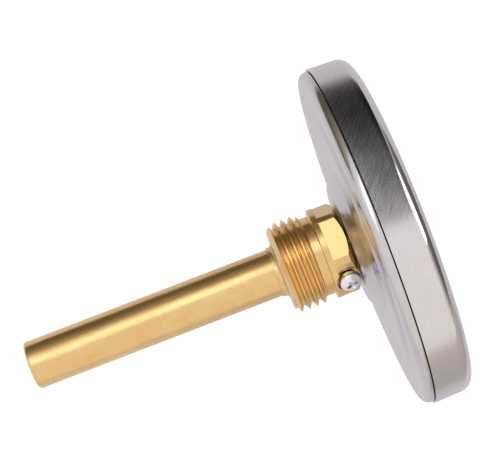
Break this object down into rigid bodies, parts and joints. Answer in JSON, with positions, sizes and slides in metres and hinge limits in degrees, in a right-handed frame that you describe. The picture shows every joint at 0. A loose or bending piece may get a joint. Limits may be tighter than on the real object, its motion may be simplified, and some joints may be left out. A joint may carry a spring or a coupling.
{
  "type": "dial thermometer",
  "caption": "Round dial thermometer with a rear stem clamped by a side screw in a screw-in brass pocket with a hexagon and pipe thread.",
  "frame": {"origin": "centre of the pocket's shoulder plane, on the thread's axis, where the thread's relief neck begins", "axes": "+Y along the stem from the dial to the pocket's tip, +Z to the dial's twelve o'clock, +X to its three o'clock as read from the front"},
  "size_m": [0.08, 0.0907, 0.08],
  "materials": {
    "brass": "turned and lightly polished",
    "braze": "as flowed",
    "zinc_plated_steel": "zinc plated, dull mirror",
    "stainless": "brushed",
    "aluminium": "drawn",
    "bimetal": "rolled strip, heat tinted",
    "dial_white": "satin",
    "pointer_black": "satin",
    "gasket_rubber": "matt",
    "washer_fibre": "matt",
    "window_glass": "clear"
  },
  "bodies": {
    "pocket": {"pocket_body": "brass", "pocket_tube": "brass", "braze_ring": "braze"},
    "clamp_screw": {"clamp_screw": "zinc_plated_steel"},
    "stem": {"stem_tube": "aluminium", "coil_anchor": "brass", "lower_guide": "brass", "upper_guide": "brass"},
    "head": {"case_back": "zinc_plated_steel", "case_washer": "washer_fibre", "stem_ferrule": "brass", "bezel_ring": "stainless", "window": "window_glass", "window_gasket": "gasket_rubber", "dial_plate": "dial_white", "dial_post_left": "brass", "dial_post_right": "brass", "dial_screw_left": "zinc_plated_steel", "dial_screw_right": "zinc_plated_steel", "stop_pin": "brass", "dial_ring": "dial_white"},
    "movement": {"pointer": "pointer_black", "pointer_hub": "brass", "spindle": "stainless", "coil_hub": "brass", "bimetal_coil": "bimetal"}
  },
  "joints": [
    {"name": "clamp_screw_turn", "type": "hinge", "parent": "pocket", "child": "clamp_screw", "pos_m": [0, -0.0034, 0], "axis": [-0.7022, 0, 0.712], "range_deg": [0, 720]},
    {"name": "stem_slide", "type": "slide", "parent": "pocket", "child": "stem", "axis": [0, -1, 0], "range_m": [0, 0.07]},
    {"name": "head_turn", "type": "hinge", "parent": "stem", "child": "head", "pos_m": [0, 0, 0], "axis": [0, -1, 0], "continuous": true},
    {"name": "pointer_turn", "type": "hinge", "parent": "head", "child": "movement", "pos_m": [0, 0, 0], "axis": [0, 1, 0], "range_deg": [-45, 225], "stiffness_Nm_per_rad": 0.0005, "deforming": ["bimetal_coil"]}
  ]
}
